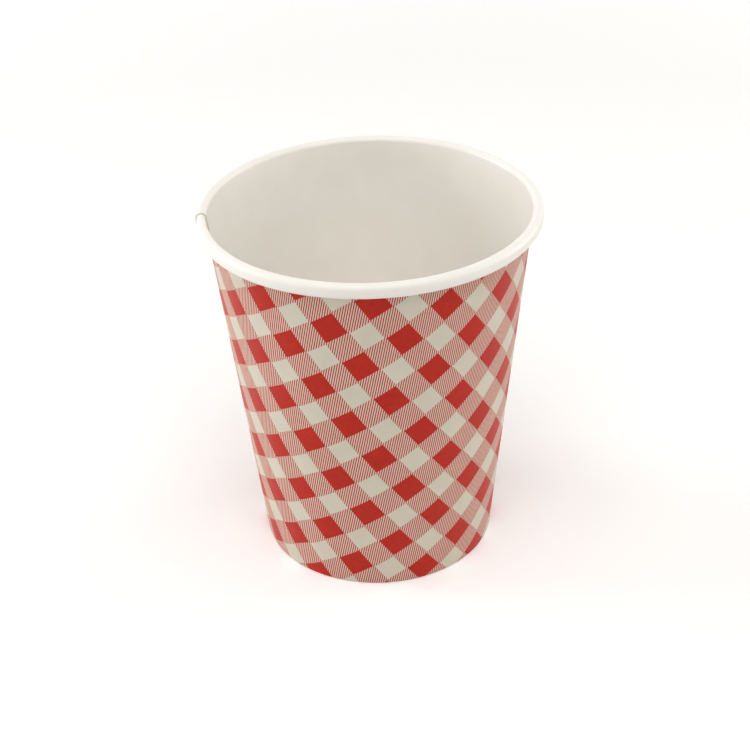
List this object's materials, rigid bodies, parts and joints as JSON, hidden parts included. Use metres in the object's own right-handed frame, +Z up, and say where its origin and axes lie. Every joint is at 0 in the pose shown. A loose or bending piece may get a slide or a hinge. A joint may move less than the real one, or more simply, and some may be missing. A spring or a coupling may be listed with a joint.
{
  "type": "paper cup",
  "caption": "Tapered paper cup with a rolled rim, a lapped side seam, a recessed bottom held in a turned-in hem, and a check print.",
  "frame": {"origin": "centre of the foot circle, on the surface that the cup stands on", "axes": "+Z up along the cup's axis; -Y towards the side seen in the picture; the side seam lies near -X"},
  "size_m": [0.075, 0.075, 0.083],
  "materials": {
    "sidewall_paper": "coated white paper, satin",
    "bottom_paper": "coated white paper, satin",
    "tint_ink": "half-tone of red ink on white paper",
    "solid_ink": "solid red ink on white paper"
  },
  "bodies": {
    "root": {"sidewall": "sidewall_paper", "bottom": "bottom_paper", "print_tint": "tint_ink", "print_solid": "solid_ink"}
  },
  "joints": []
}
